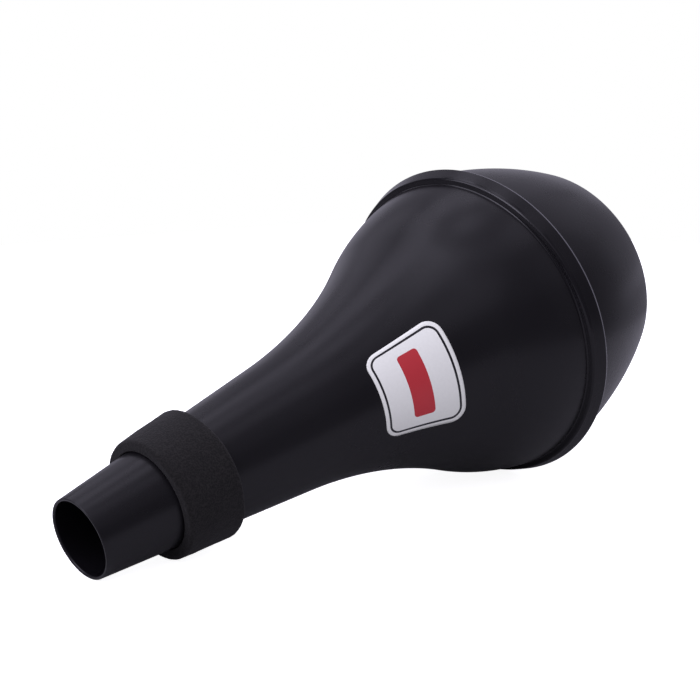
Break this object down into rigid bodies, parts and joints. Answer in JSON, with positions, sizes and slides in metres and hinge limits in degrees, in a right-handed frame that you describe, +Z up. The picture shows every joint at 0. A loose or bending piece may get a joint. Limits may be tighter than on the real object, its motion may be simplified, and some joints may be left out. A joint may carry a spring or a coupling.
{
  "type": "practice mute for a baritone horn",
  "caption": "Hollow black practice mute for a baritone horn: conical neck with a foam ring, flared body, stepped lip and domed end with small vents.",
  "frame": {"origin": "on the floor under the middle of the bounding box", "axes": "+X from the open mouth towards the domed end, along the floor; +Y across; +Z up"},
  "size_m": [0.2968, 0.144, 0.1394],
  "materials": {
    "black_moulded_body": "satin moulded black, smooth",
    "black_moulded_dome": "satin moulded black, smooth",
    "dark_cement": "set solvent cement, dull",
    "charcoal_foam": "fine closed-cell foam, matt charcoal",
    "black_adhesive_film": "thin adhesive film",
    "label_white": "printed film label, smooth"
  },
  "bodies": {
    "root": {"body_shell": "black_moulded_body", "end_dome": "black_moulded_dome", "joint_cement": "dark_cement", "foam_seal": "charcoal_foam", "seal_tape": "black_adhesive_film", "label": "label_white"}
  },
  "joints": []
}
